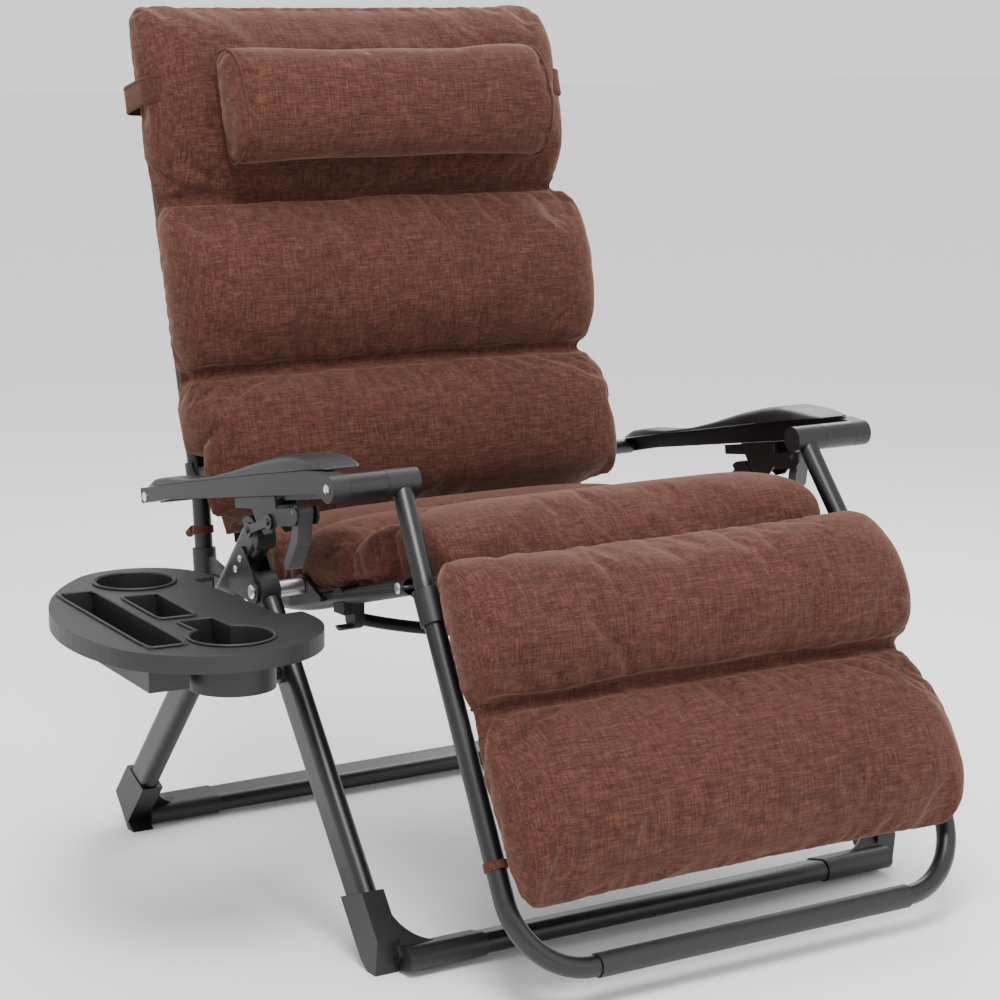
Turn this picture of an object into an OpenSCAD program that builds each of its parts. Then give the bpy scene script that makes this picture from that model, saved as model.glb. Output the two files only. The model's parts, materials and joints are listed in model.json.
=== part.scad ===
// Zero gravity recliner with a padded cushion, a head pillow and a side tray.
// Millimetres. +Z is up, the sitter faces -Y, and the sitter's right hand is at -X.
// The origin is on the floor, under the middle of the whole outline.

/* [Tubes] */
// Outer diameter of the round frame tubes
tube_d = 25.4; // [24:0.1:25.6]
// Wall thickness of every steel tube
tube_wall = 1.5; // [1:0.1:2]
// Outer diameter of the seat's side rails
rail_d = 22; // [20:0.5:22]
// Width of the flat-oval leg tube, seen from the side
leg_w = 50; // [46:0.5:50]
// Thickness of the flat-oval leg tube
leg_t = 26; // [24:0.5:26]

/* [Layout] */
// Outer face of the armrests, from the middle of the chair
arm_outer_x = 415; // [414.5:0.5:416]
// Middle of the backrest's side tubes
back_x = 305; // [304:0.5:305]
// Middle of the footrest's tubes at the armrest
foot_top_x = 313; // [312:0.5:314]
// Middle of the footrest's tubes at the foot bar
foot_low_x = 337; // [335:0.5:338]

/* [Soft parts] */
// Half width of the back cushion
back_half = 328; // [320:1:329]
// Half width of the back cushion's lowest roll, between the armrest's pivots
lumbar_half = 292; // [280:1:293]
// Half width of the seat cushion, which lies between the footrest's uprights
seat_half = 296; // [285:1:297]
// Half width of the seat cushion behind the uprights
seat_wide = 324; // [300:1:325]
// Half width of the leg cushion
leg_half = 320; // [310:1:321]
// Half width of the head pillow
pillow_half = 250; // [200:5:260]

/* [Side tray] */
// Height of the tray's top face
tray_top = 425; // [420:1:430]
// Radius of the tray's round ends
tray_end_r = 140.5; // [138:0.5:146]
// Inner radius of a cup holder
cup_r = 49; // [40:1:52]
// Depth of a cup holder
cup_depth = 60; // [50:1:70]
// Wall thickness of the tray's plastic
tray_wall = 3; // [2.5:0.1:3.2]

/* [Hidden] */
$fn = 48;

// Colours
black_steel = [0.07, 0.07, 0.075];
black_plastic = [0.1, 0.1, 0.105];
bright_steel = [0.82, 0.83, 0.85];
brown_cloth = [0.36, 0.17, 0.12];
dark_mesh = [0.09, 0.08, 0.08];
grey_plastic = [0.3, 0.3, 0.31];

// Pivots in the side view, as [y, z]. Arm, backrest, seat rail and footrest
// upright make a parallelogram, so all four turn by the same angle.
apex = [-50, 420];
arm_front = [-263, 585];
knee = [-287, 459];
arm_rear = [250, 498];
seat_rear = arm_rear + knee - arm_front;
leg_top = [-46, 500];
link_front = [-101, 519];

tube_r = tube_d / 2;
rail_r = rail_d / 2;
rail_x = 320;
leg_x = 392;
leg_in = leg_x - leg_t / 2;
leg_out = leg_x + leg_t / 2;
foot_w = leg_w + 4;
plate_t = 3;
bar_z = 20;
front_bar_y = -366;
rear_bar_y = 362;
bar_tilt = 12;
front_foot = [-340, 29];
rear_foot = [371, 29];

// Backrest tube in the side view: upright at the armrest, then leaning back
back_low = [290, 345];
back_bend = [303, 480];
back_lean = [0.2484, 0.9687];
back_front = [-0.9687, 0.2484];
back_len = 640;
back_corner_r = 75;

// Footrest tube at the knee and at the foot bar, and its directions below the knee
foot_knee_x = 325;
foot_knee = [-340, 472];
foot_end = [-580, 50];
foot_down = (foot_end - foot_knee) / norm(foot_end - foot_knee);
foot_front = [foot_down[1], -foot_down[0]];
foot_corner_r = 95;
grip_half = 236;

// Seat rail: it drops from the knee, then runs almost level to the backrest
rail_bend = [-20, 388];
rail_bend_r = 600;

pin_r = 4;
apex_r = 6;
spindle_r = 8;
fit = 0.05;
weld = 0.02;
lateral_r = 17;
arm_in_x = arm_outer_x - 24;
tray_in_x = arm_outer_x + 2.5;
peg_r = 8;
peg_1 = [-95, 360];
peg_2 = [-119, 328];

// Moves the chair so that the origin is under the middle of its whole outline
origin_shift = [143.096, 60.112, 0];

// ---- shared shapes ----

function dir2(a, b) = (b - a) / norm(b - a);
function unit(v) = v / norm(v);

// Points on the armrest (along the pivot line from the rear, and above it),
// on the backrest and on the footrest (along the tube, and in front of it)
arm_dir = dir2(arm_rear, arm_front);
arm_up = [-arm_dir[1], arm_dir[0]] * -1;
arm_len = norm(arm_front - arm_rear);
function arm_pt(s, h) = arm_rear + s * arm_dir + h * arm_up;
function back_pt(t, d) = back_bend + t * back_lean + d * back_front;
function foot_pt(t, d) = foot_knee + t * foot_down + d * foot_front;

module placed() {
    translate(origin_shift) children();
}

module both_sides() {
    children();
    mirror([1, 0, 0]) children();
}

// Puts +Z along the line from a to b, starting at a
module along(a, b) {
    v = b - a;
    translate(a) rotate([0, acos(v[2] / norm(v)), atan2(v[1], v[0])]) children();
}

module rod(a, b, r) {
    along(a, b) cylinder(r = r, h = norm(b - a));
}

// A side-view outline, drawn as (y, z), given thickness from x0 to x1
module slab(x0, x1) {
    translate([x0, 0, 0]) rotate([90, 0, 90]) linear_extrude(x1 - x0) children();
}

module disc2(p, r) {
    translate(p) circle(r);
}

// A bar with round ends between two side-view points
module link2(a, b, r) {
    v = b - a;
    disc2(a, r);
    disc2(b, r);
    translate(a) rotate(atan2(v[1], v[0])) translate([0, -r]) square([norm(v), 2 * r]);
}

// A flat oval, wide along the second axis
module oval2(t, w) {
    translate([-t / 2, -(w - t) / 2]) square([t, w - t]);
    for (s = [-1, 1]) translate([0, s * (w - t) / 2]) circle(t / 2);
}

module oval_ring2(t, w, wall) {
    difference() {
        oval2(t, w);
        oval2(t - 2 * wall, w - 2 * wall);
    }
}

// +Z along the side-view line from a to b, with the second axis across it
module side_line(x, a, b) {
    v = b - a;
    translate([x, a[0], a[1]]) rotate([atan2(v[1], v[0]) - 90, 0, 0]) children();
}

module pin_x(x0, x1, p, r) {
    translate([x0, p[0], p[1]]) rotate([0, 90, 0]) cylinder(r = r, h = x1 - x0);
}

// A low rivet head standing out towards -X from x
module rivet_head(x, p, r) {
    translate([x, p[0], p[1]]) rotate([0, -90, 0]) {
        cylinder(r = r, h = 0.8);
        translate([0, 0, 0.8]) cylinder(r1 = r, r2 = r * 0.6, h = 1.4);
    }
}

module ring2(r, wall) {
    difference() {
        circle(r);
        if (wall > 0) circle(r - wall);
    }
}

// Length a bend takes off the straight runs on both sides of point i, with its weld seam
function bend_cut(p, bend_r, i) =
    (i == 0 || i == len(p) - 1) ? 0
    : weld + bend_r / tan(acos(unit(p[i - 1] - p[i]) * unit(p[i + 1] - p[i])) / 2);

// Round tube through a list of points, bent at the inner ones; wall 0 is solid
module run(p, bend_r, r, wall) {
    for (i = [0 : len(p) - 2]) {
        u = unit(p[i + 1] - p[i]);
        a = p[i] + bend_cut(p, bend_r, i) * u;
        b = p[i + 1] - bend_cut(p, bend_r, i + 1) * u;
        along(a, b) linear_extrude(norm(b - a)) ring2(r, wall);
    }
    if (len(p) > 2) for (i = [1 : len(p) - 2]) {
        u1 = unit(p[i - 1] - p[i]);
        u2 = unit(p[i + 1] - p[i]);
        half = acos(u1 * u2) / 2;
        c = p[i] + unit(u1 + u2) * bend_r / sin(half);
        a = unit(p[i] + u1 * bend_r / tan(half) - c);
        n = cross(a, -u1);
        multmatrix([[a[0], -u1[0], n[0], c[0]], [a[1], -u1[1], n[1], c[1]],
            [a[2], -u1[2], n[2], c[2]]])
            rotate_extrude(angle = 180 - 2 * half) translate([bend_r, 0]) ring2(r, wall);
    }
}

// ---- base: front and rear leg frames ----

module front_leg(x) {
    top = apex - 22 * dir2(front_foot, apex);
    placed() color(black_steel) side_line(x, front_foot, top)
        linear_extrude(norm(top - front_foot)) oval_ring2(leg_t, leg_w, tube_wall);
}

module front_leg_right() { front_leg(-leg_x); }
module front_leg_left() { front_leg(leg_x); }

// Nylon nose that closes the leg's top and carries the apex pin
module front_leg_plugs() {
    top = apex - 22 * dir2(front_foot, apex);
    placed() color(black_plastic) both_sides() difference() {
        union() {
            slab(-leg_out, -leg_in) difference() {
                disc2(apex, leg_w / 2 - 0.2);
                translate(top) rotate(atan2(apex[1] - top[1], apex[0] - top[0]))
                    translate([-60, -40]) square([60.1, 80]);
            }
            side_line(-leg_x, top, front_foot) translate([0, 0, -4]) linear_extrude(44)
                oval2(leg_t - 2 * tube_wall - 0.2, leg_w - 2 * tube_wall - 0.2);
        }
        pin_x(-leg_out - 1, -leg_in + 1, apex, apex_r + fit);
    }
}

// Flat-oval floor bar across the chair, its outer edge tilted up
module floor_bar(y, tilt) {
    inset = 60;
    placed() color(black_steel) translate([-leg_x + inset, y, bar_z]) rotate([0, 90, 0])
        rotate([0, 0, tilt]) linear_extrude(2 * (leg_x - inset))
            oval_ring2(leg_t, leg_w, tube_wall);
}

module front_floor_bar() { floor_bar(front_bar_y, -bar_tilt); }
module rear_floor_bar() { floor_bar(rear_bar_y, bar_tilt); }

// Moulded corner foot: a socket round the leg, a heel on the floor, a sleeve
// on the floor bar and a curved web between them. s is 1 at the front.
module corner_foot(leg_end, leg_high, bar_y, s) {
    socket = 72;
    up = dir2(leg_end, leg_high);
    out = [-s * up[1], s * up[0]];
    half = foot_w / 2;
    web = 66;
    sleeve_end = -leg_x + 125;
    lean = atan2(-up[0], up[1]);
    difference() {
        union() {
            slab(-406.5, -375.5) polygon([
                leg_end + (socket - 8) * up + half * out,
                leg_end + (socket + 8) * up - half * out,
                leg_end - half * out,
                [bar_y + s * 30, 0],
                [bar_y + s * 10, 0],
                leg_end + half * out
            ]);
            translate([-376, bar_y, bar_z]) rotate([0, 90, 0]) rotate([0, 0, -s * bar_tilt])
                linear_extrude(376 + sleeve_end) oval2(leg_t + 4, foot_w);
            translate([0, bar_y, bar_z]) rotate([lean, 0, 0]) rotate([90, 0, 0])
                translate([0, 0, -5]) linear_extrude(10) difference() {
                    translate([-380, 0]) square([4 + web, web + 12]);
                    translate([-376 + web, web + 12]) circle(web);
                }
        }
        side_line(-leg_x, leg_end, leg_high) linear_extrude(200)
            oval2(leg_t + 0.2, leg_w + 0.2);
        translate([-leg_x + 60, bar_y, bar_z]) rotate([0, 90, 0])
            rotate([0, 0, -s * bar_tilt]) linear_extrude(200) oval2(leg_t + 0.2, leg_w + 0.2);
        translate([-500, -500, -60]) cube([1000, 1000, 60]);
    }
}

module front_feet() {
    placed() color(black_plastic) both_sides() corner_foot(front_foot, apex, front_bar_y, 1);
}

module rear_feet() {
    placed() color(black_plastic) both_sides() corner_foot(rear_foot, leg_top, rear_bar_y, -1);
}

rear_nose = leg_top + 12 * dir2(leg_top, rear_foot);

module rear_leg(x) {
    placed() color(black_steel) side_line(x, rear_foot, rear_nose)
        linear_extrude(norm(rear_nose - rear_foot)) oval_ring2(leg_t, leg_w, tube_wall);
}

module rear_leg_right() { rear_leg(-leg_x); }
module rear_leg_left() { rear_leg(leg_x); }

// Rounded nylon plug in the rear leg's upper end, which carries the lock link's pin
module rear_leg_plugs() {
    v = rear_foot - rear_nose;
    placed() color(black_plastic) both_sides() difference() {
        union() {
            slab(-leg_out, -leg_in) difference() {
                disc2(rear_nose, leg_w / 2 - 0.2);
                translate(rear_nose) rotate(atan2(v[1], v[0])) translate([-0.1, -40])
                    square([60, 80]);
            }
            side_line(-leg_x, rear_nose, rear_foot) translate([0, 0, -4]) linear_extrude(44)
                oval2(leg_t - 2 * tube_wall - 0.2, leg_w - 2 * tube_wall - 0.2);
        }
        pin_x(-leg_out - 1, -leg_in + 1, leg_top, pin_r + fit);
    }
}

plate_rivets = [[-18, 458], [-5, 442]];

// Three-cornered plates on both faces of the rear leg, hinged on the apex pin
module hinge_plates() {
    placed() color(black_steel) both_sides() for (x = [-leg_out - plate_t - 0.3, -leg_in + 0.3])
        difference() {
            slab(x, x + plate_t) {
                disc2(apex, 16);
                disc2([-20, 464], 10);
                disc2([14, 426], 12);
                polygon([[-66, 421], [-29.5, 468], [-11, 468.5], [22, 435], [18, 415], [-52, 404]]);
            }
            pin_x(-leg_out - 9, -leg_in + 9, apex, apex_r + fit);
        }
}

module hinge_plate_rivets() {
    placed() color(bright_steel) both_sides() for (p = plate_rivets)
        rivet_head(-leg_out - plate_t - 0.3, p, 4.5);
}

// Steel pegs on a flange riveted to the right front leg, for the side tray
module tray_bracket() {
    flange = -leg_out - 5;
    placed() color(black_steel) {
        slab(flange, -leg_out) link2(peg_1, peg_2, 13);
        for (p = [peg_1, peg_2]) pin_x(-500, flange, p, peg_r);
    }
}

// ---- apex pins ----

// Hinge pins of the base, with a spacer between the legs and the seat
module apex_pins() {
    head = -leg_out - plate_t - 0.3;
    placed() color(bright_steel) both_sides() {
        pin_x(head - 0.2, -331.4, apex, apex_r);
        rivet_head(head - 0.2, apex, 9);
        pin_x(-leg_in + plate_t + 0.8, -337.5, apex, 11);
    }
}

// ---- seat ----

function rail_line(x) = [
    [x, knee[0], knee[1]] + 12 * [0, -0.966, 0.257],
    [x, rail_bend[0], rail_bend[1]],
    [x, seat_rear[0] + 12, seat_rear[1] - 0.8]
];

module seat_rail(x) {
    placed() color(black_steel) difference() {
        run(rail_line(x), rail_bend_r, rail_r, tube_wall);
        pin_x(x - 20, x + 20, knee, pin_r + fit);
        pin_x(x - 20, x + 20, seat_rear, pin_r + fit);
    }
}

module seat_rail_right() { seat_rail(-rail_x); }
module seat_rail_left() { seat_rail(rail_x); }

// Welded plates that hang the seat rails on the apex pins
module seat_hangers() {
    placed() color(black_steel) both_sides() difference() {
        slab(-336.5, -331.3) {
            disc2(apex, 15);
            polygon([[-100, 414], [-62, 430], [-38, 430], [-14, 398], [-14, 386], [-100, 408]]);
        }
        pin_x(-340, -320, apex, apex_r + fit);
    }
}

cross_end = [-136, 390];
cross_sag = 46;
cross_half = rail_x - 14;
cross_r = (cross_half * cross_half + cross_sag * cross_sag) / (2 * cross_sag);
cross_angle = 2 * asin(cross_half / cross_r);

// Tube across the chair under the seat, bowed down in the middle
module seat_cross_tube() {
    placed() color(black_steel) translate([0, cross_end[0], cross_end[1] - cross_sag + cross_r])
        rotate([90, 0, 0]) rotate([0, 0, -90 - cross_angle / 2])
            rotate_extrude(angle = cross_angle, $fn = 720) translate([cross_r, 0])
                ring2(8, tube_wall, $fn = 48);
}

// Clamps that hang the cross tube from the seat rails
module cross_tube_clamps() {
    a = [-rail_x, knee[0], knee[1]];
    b = [-rail_x, rail_bend[0], rail_bend[1]];
    placed() color(black_plastic) both_sides() difference() {
        union() {
            slab(-330, -300) link2([-136, 419], cross_end, 13.5);
            rivet_head(-330, cross_end, 6);
        }
        rod(a, b, rail_r + fit);
        slab(-340, -313.5) translate(cross_end) square([40, 17], center = true);
        translate([0, cross_end[0], cross_end[1] - cross_sag + cross_r])
            rotate([90, 0, 0]) rotate([0, 0, -90 - cross_angle / 2])
                rotate_extrude(angle = cross_angle, $fn = 720) translate([cross_r, 0])
                    circle(8 + fit, $fn = 48);
    }
}

// Slings are woven sheets; these are their flat fields between the laced edges
sling_t = 1.6;

module seat_sling() {
    placed() color(dark_mesh) slab(-278, 278) polygon([
        [-262, 452], [-20, 386], [215, 370.5], [215, 372.1], [-20, 387.6], [-262, 453.6]
    ]);
}

// Elastic cord zigzags from the tube to the sling's eyelets and back, p to q
module lacing(x_in, x_out, p, q, count) {
    function at(x, f) = [x, p[0] + (q[0] - p[0]) * f, p[1] + (q[1] - p[1]) * f];
    for (i = [0 : count - 1]) {
        rod(at(x_in, (i + 0.1) / count), at(x_out, (i + 0.4) / count), 1.8);
        rod(at(x_out, (i + 0.6) / count), at(x_in, (i + 0.9) / count), 1.8);
    }
}

module seat_lacing() {
    placed() color(black_plastic) both_sides() {
        lacing(-rail_x + rail_r + 0.6, -279.5, [-240, 446], [-156, 423.1], 3);
        lacing(-rail_x + rail_r + 0.6, -279.5, [-116, 412.2], [-62, 397.4], 2);
        lacing(-rail_x + rail_r + 0.6, -279.5, [0, 385], [200, 372.2], 5);
    }
}

// Side view of the seat cushion: three soft rolls on the sling
module seat_cushion2() {
    intersection() {
        union() {
            disc2([-240, 458], 78);
            disc2([-75, 440], 80);
            disc2([95, 425], 80);
            polygon([
                [-326, 486], [-240, 490], [-75, 480], [175, 465], [205, 440], [212, 373],
                [-20, 389], [-262, 455], [-290, 464]
            ]);
        }
        polygon([
            [-330, 560], [200, 560], [230, 374], [-20, 389], [-262, 455], [-290, 464],
            [-330, 484]
        ]);
    }
}

// The cushion's narrow front lies between the footrest's uprights, its wide rear
// lies on the rails
module seat_cushion() {
    placed() color(brown_cloth) {
        slab(-seat_half, seat_half) seat_cushion2();
        slab(-seat_wide, seat_wide) intersection() {
            seat_cushion2();
            polygon([[-225, 600], [-225, 457.5], [-12, 402], [235, 390], [235, 600]]);
        }
    }
}

// ---- backrest ----

// Rear pins of the seat rails
module back_pivot_pins() {
    placed() color(bright_steel) both_sides() {
        pin_x(-rail_x - rail_r - 0.4, -299, seat_rear, pin_r);
        rivet_head(-rail_x - rail_r - 0.4, seat_rear, 7);
    }
}

back_split = back_len - back_corner_r - 40;

module back_tube(x) {
    top = back_pt(back_split, 0);
    placed() color(black_steel) run([
        [x, back_low[0], back_low[1]], [x, back_bend[0], back_bend[1]], [x, top[0], top[1]]
    ], 150, tube_r, tube_wall);
}

module back_tube_right() { back_tube(-back_x); }
module back_tube_left() { back_tube(back_x); }

// Shallow U that joins the side tubes at the head end
module back_top_tube() {
    base = back_pt(back_split + 0.1, 0);
    crown = back_pt(back_len, 0);
    placed() color(black_steel) run([
        [-back_x, base[0], base[1]], [-back_x, crown[0], crown[1]],
        [back_x, crown[0], crown[1]], [back_x, base[0], base[1]]
    ], back_corner_r, tube_r, tube_wall);
}

module back_lower_tube() {
    placed() color(black_steel) run([
        [-back_x + 16.6, back_low[0] + 1.2, back_low[1] + 14],
        [back_x - 16.6, back_low[0] + 1.2, back_low[1] + 14]
    ], 1, 9.5, tube_wall);
}

// Moulded clamps on the backrest tube, each with an ear that holds a pivot
module back_brackets() {
    low_a = [-back_x, 290.1, 346];
    low_b = [-back_x, 296.1, 408];
    high_a = back_pt(14, 0);
    high_b = back_pt(48, 0);
    placed() color(black_plastic) both_sides() difference() {
        union() {
            rod(low_a, low_b, 16.5);
            slab(-308.4, -300) {
                disc2(seat_rear, 14);
                polygon([[228, 386], [292, 402], [292, 366], [226, 358]]);
            }
            rod([-back_x, high_a[0], high_a[1]], [-back_x, high_b[0], high_b[1]], 16.5);
            slab(-312, -299) link2(arm_rear, back_pt(27, 10), 15);
        }
        rod(low_a * 3 - low_b * 2, low_b * 3 - low_a * 2, tube_r + fit);
        rod([-back_x, back_pt(-40, 0)[0], back_pt(-40, 0)[1]],
            [-back_x, back_pt(90, 0)[0], back_pt(90, 0)[1]], tube_r + fit);
        pin_x(-320, -290, seat_rear, pin_r + fit);
        pin_x(-320, -290, arm_rear, 11.4);
    }
}

module back_sling() {
    low = back_pt(-70, 1);
    high = back_pt(back_len - 70, 1);
    placed() color(dark_mesh) slab(-262, 262) polygon([
        low, high, high + sling_t * back_front, low + sling_t * back_front
    ]);
}

module back_lacing() {
    placed() color(black_plastic) both_sides()
        lacing(-back_x + tube_r + 0.6, -263.5, back_pt(60, 1.8), back_pt(540, 1.8), 9);
}

// One roll of the cushion: a disc cut off at the cushion's flat rear face
module roll2(from, to, crest) {
    half = (to - from) / 2;
    sag = crest - 36;
    r = (half * half + sag * sag) / (2 * sag);
    disc2([(from + to) / 2, crest - r], r);
}

back_gap = 17;

// Side view of the back cushion, drawn flat: two lumbar rolls and the head section
module back_cushion2() {
    translate([0, back_gap]) intersection() {
        union() {
            roll2(-62, 161, 128);
            roll2(161, 408, 116);
            roll2(408, 684, 84);
            translate([-40, 0]) square([716, 34]);
        }
        translate([-58, 0]) square([740, 140]);
    }
}

// The lowest roll is narrower, so that it lies between the pivot ears
module back_cushion() {
    placed() color(brown_cloth) side_frame() {
        translate([0, 0, -lumbar_half]) linear_extrude(2 * lumbar_half) back_cushion2();
        translate([0, 0, -back_half]) linear_extrude(2 * back_half) intersection() {
            back_cushion2();
            translate([78, 0]) square([700, 200]);
        }
    }
}

// Elastic loops with toggles that tie the cushion to the backrest tube
module back_ties() {
    a = [-back_x, back_low[0], back_low[1]];
    u = unit([0, back_bend[0] - back_low[0], back_bend[1] - back_low[1]]);
    placed() color(brown_cloth) both_sides() difference() {
        union() {
            rod(a + 84 * u, a + 94 * u, tube_r + 2.6);
            rod([-back_x - 12, 304, 434], [-back_x - 12, 317, 426], 6);
        }
        rod(a + 40 * u, a + 120 * u, tube_r + 0.2);
    }
}

strap_t = 560;
pillow_t = 522;
pillow_back = 106;

module head_pillow() {
    placed() color(brown_cloth) slab(-pillow_half, pillow_half)
        translate(back_bend) rotate(atan2(back_lean[1], back_lean[0])) intersection() {
            disc2([pillow_t, pillow_back - 4], 81);
            translate([pillow_t - 100, pillow_back]) square([200, 100]);
        }
}

// Band round the backrest that carries the pillow
module pillow_strap() {
    placed() color(brown_cloth) difference() {
        translate([-333, 0, 0]) side_frame() linear_extrude(666)
            translate([strap_t - 19, -16]) square([38, pillow_back + 15.6]);
        translate([-331.4, 0, 0]) side_frame() linear_extrude(662.8)
            translate([strap_t - 40, -14.4]) square([80, pillow_back + 12.4]);
    }
}

// Backrest plane: first axis up the backrest, second axis forward, +Z along +X
module side_frame() {
    translate([0, back_bend[0], back_bend[1]]) rotate([90, 0, 90])
        rotate(atan2(back_lean[1], back_lean[0])) children();
}

// ---- footrest ----

module knee_pins() {
    placed() color(bright_steel) both_sides() {
        pin_x(-rail_x - rail_r - 0.4, -299, knee, pin_r);
        rivet_head(-rail_x - rail_r - 0.4, knee, 7);
    }
}

module foot_tube(s) {
    placed() color(black_steel) difference() {
        run([
            [s * foot_top_x, arm_front[0], arm_front[1]],
            [s * foot_knee_x, foot_knee[0], foot_knee[1]],
            [s * foot_low_x, foot_end[0], foot_end[1]],
            [s * grip_half, foot_end[0], foot_end[1]]
        ], foot_corner_r, tube_r, tube_wall);
        pin_x(-400, 400, arm_front, lateral_r + fit);
    }
}

module foot_tube_right() { foot_tube(-1); }
module foot_tube_left() { foot_tube(1); }

module foot_bar() {
    p = [grip_half - 0.1, foot_end[0], foot_end[1]];
    placed() color(black_steel) run([[-p[0], p[1], p[2]], p], 1, tube_r, tube_wall);
}

module foot_grip() {
    p = [grip_half - 0.1, foot_end[0], foot_end[1]];
    placed() color(black_plastic) run([[-p[0], p[1], p[2]], p], 1, tube_r + 2.2, 2.15);
}

// Direction of the lower right footrest tube, from the knee down
foot_line = unit([foot_knee_x - foot_low_x, foot_end[0] - foot_knee[0],
    foot_end[1] - foot_knee[1]]);

// Moulded clamps on the footrest tube, each with an ear for the seat rail's pin
module knee_brackets() {
    m = [-foot_knee_x, foot_knee[0], foot_knee[1]];
    placed() color(black_plastic) both_sides() difference() {
        union() {
            rod(m + 6 * foot_line, m + 50 * foot_line, 16.8);
            slab(-308.6, -300.4) {
                disc2(knee, 15);
                polygon([[-290, 474], [-334, 474], [-362, 438], [-352, 430], [-280, 446]]);
            }
            slab(-322, -301) polygon([
                foot_pt(12, -6), foot_pt(44, -6), foot_pt(44, 6), foot_pt(12, 6)
            ]);
        }
        rod(m - 20 * foot_line, m + 80 * foot_line, tube_r + fit);
        pin_x(-320, -290, knee, pin_r + fit);
    }
}

// Tees on top of the footrest uprights, bored for the armrest's spindle
module tee_fittings() {
    placed() color(black_plastic) both_sides() difference() {
        pin_x(-337.8, -292, arm_front, lateral_r);
        pin_x(-337.9, -296, arm_front, spindle_r + fit);
    }
}

module leg_sling() {
    a = foot_pt(20, 4);
    b = foot_pt(400, 4);
    placed() color(dark_mesh) slab(-282, 282) polygon([
        a, b, b + sling_t * foot_front, a + sling_t * foot_front
    ]);
}

module leg_lacing() {
    placed() color(black_plastic) both_sides()
        lacing(-foot_knee_x + tube_r + 0.2, -283.5, foot_pt(62, 4.8), foot_pt(390, 4.8), 7);
}

leg_gap = 17.2;

// Leg cushion: two rolls in front of the footrest's tubes
module leg_cushion() {
    placed() color(brown_cloth) slab(-leg_half, leg_half)
        translate(foot_knee) rotate(atan2(foot_down[1], foot_down[0])) mirror([0, 1])
            translate([0, leg_gap]) intersection() {
                union() {
                    roll2(-10, 170, 76);
                    roll2(170, 402, 72);
                    translate([0, 0]) square([396, 26]);
                }
                translate([-8, 0]) square([408, 120]);
            }
}

module leg_ties() {
    m = [-foot_knee_x, foot_knee[0], foot_knee[1]];
    placed() color(brown_cloth) both_sides() difference() {
        rod(m + 343 * foot_line, m + 353 * foot_line, tube_r + 2.1);
        rod(m + 310 * foot_line, m + 380 * foot_line, tube_r + 0.2);
    }
}

// ---- armrests ----

// Cylinders between the armrest and the tee, each with a spindle in the tee's bore
module arm_front_tubes() {
    placed() color(black_steel) both_sides() {
        pin_x(-arm_in_x + 0.3, -338.2, arm_front, lateral_r);
        pin_x(-338.3, -300, arm_front, spindle_r);
    }
}

module arm_rail(x) {
    placed() color(black_plastic) slab(x, x + 24) {
        polygon([
            arm_pt(-12, -9), arm_pt(-12, 12), arm_pt(150, 17), arm_pt(330, 22),
            arm_pt(470, 24), arm_pt(arm_len - 20, 22), arm_pt(arm_len, lateral_r),
            arm_pt(arm_len, -lateral_r), arm_pt(arm_len - 30, -5), arm_pt(60, -5)
        ]);
        disc2(arm_front, lateral_r);
    }
}

module arm_rail_right() { arm_rail(-arm_outer_x); }
module arm_rail_left() { arm_rail(arm_in_x); }

// Contoured pads: low at the elbow, crowned under the wrist
module arm_pad() {
    intersection() {
        slab(-arm_outer_x + 0.5, -338) polygon([
            arm_pt(-4, 12.4), arm_pt(150, 17.2), arm_pt(330, 22.2), arm_pt(470, 24.2),
            arm_pt(505, 23), arm_pt(495, 29), arm_pt(462, 38), arm_pt(425, 44.5),
            arm_pt(385, 44), arm_pt(330, 39), arm_pt(262, 30), arm_pt(200, 24), arm_pt(130, 22),
            arm_pt(60, 26), arm_pt(25, 24), arm_pt(0, 17)
        ]);
        linear_extrude(800) polygon([
            [-415, 262], [-415, -245], [-405, -254], [-360, -254], [-344, -240], [-339, -200],
            [-339, -110], [-348, -20], [-362, 80], [-368, 180], [-374, 250], [-382, 262]
        ]);
    }
}

module arm_pad_right() { placed() color(black_plastic) arm_pad(); }
module arm_pad_left() { placed() color(black_plastic) mirror([1, 0, 0]) arm_pad(); }

module arm_rear_spindles() {
    placed() color(black_steel) both_sides() pin_x(-arm_in_x + 0.3, -296, arm_rear, 11);
}

module arm_rivets() {
    placed() color(bright_steel) both_sides() for (p = [arm_rear, arm_front])
        rivet_head(-arm_outer_x - 0.05, p, 6.5);
}

// ---- recline lock ----

// Guide boxes under the front half of the armrests
module lock_tracks() {
    placed() color(black_plastic) both_sides() slab(-402, -393) polygon([
        arm_pt(385, -5.2), arm_pt(485, -5.2), arm_pt(485, -12), arm_pt(385, -12)
    ]);
}

shoe_s = 320;

// Nylon shoes that run on the armrest's underside inside the carriages
module track_shoes() {
    placed() color(grey_plastic) both_sides() slab(-402, -394) polygon([
        arm_pt(shoe_s, -5.6), arm_pt(shoe_s + 26, -5.6),
        arm_pt(shoe_s + 26, -11.5), arm_pt(shoe_s, -11.5)
    ]);
}

lever_pivot = arm_pt(410, -27);

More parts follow.
